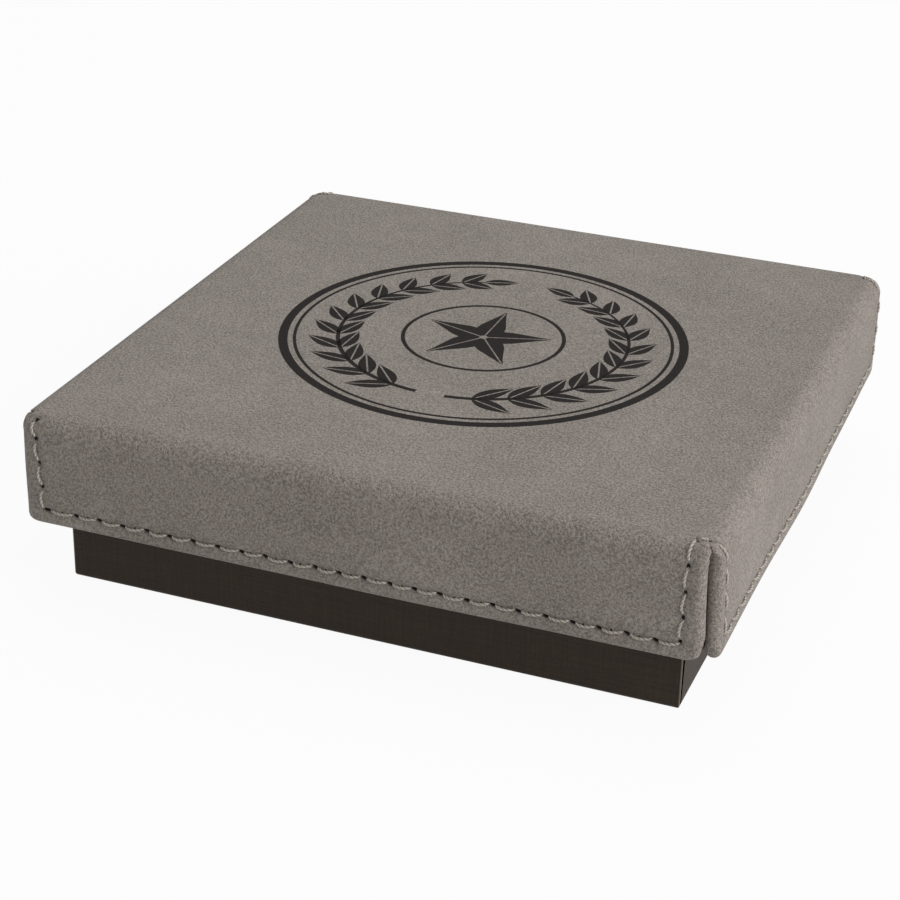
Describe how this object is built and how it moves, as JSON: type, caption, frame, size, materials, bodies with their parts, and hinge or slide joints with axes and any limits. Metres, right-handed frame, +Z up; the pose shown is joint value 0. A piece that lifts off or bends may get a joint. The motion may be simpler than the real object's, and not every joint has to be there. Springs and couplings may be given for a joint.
{
  "type": "medal box",
  "caption": "Square presentation box for a round medal: a stitched leatherette lid lifts off a paper-covered base with a recessed velvet insert.",
  "frame": {"origin": "centre of the base's underside", "axes": "+Z up, -Y towards the front face, +X to the right seen from the front"},
  "size_m": [0.1022, 0.1022, 0.0274],
  "materials": {
    "base_board": "grey board",
    "base_paper": "linen embossed, dark brown",
    "floor_paper": "matt, dark brown",
    "foam": "open cell foam",
    "velvet": "short pile velvet",
    "lid_board": "grey board",
    "lid_paper": "linen embossed, dark brown",
    "leatherette": "warm grey, fine suede grain",
    "lining": "backing cloth",
    "thread": "twisted polyester thread"
  },
  "bodies": {
    "base": {"base_board_tray": "base_board", "base_corner_stays": "base_board", "base_paper_wrap": "base_paper", "base_floor_sheet": "floor_paper", "insert_riser": "base_board", "insert_platform": "base_board", "insert_foam_pad": "foam", "insert_foam_ring": "foam", "insert_velvet": "velvet"},
    "lid": {"lid_board_tray": "lid_board", "lid_corner_stays": "lid_board", "lid_paper_wrap": "lid_paper", "lid_inner_panel": "lid_paper", "cover_lining": "lining", "cover_top_board": "lid_board", "cover_side_boards": "lid_board", "cover_leatherette": "leatherette", "cover_stitching": "thread"}
  },
  "joints": [
    {"name": "lid_lift", "type": "slide", "parent": "base", "child": "lid", "axis": [0, 0, 1], "range_m": [0, 0.06]}
  ]
}
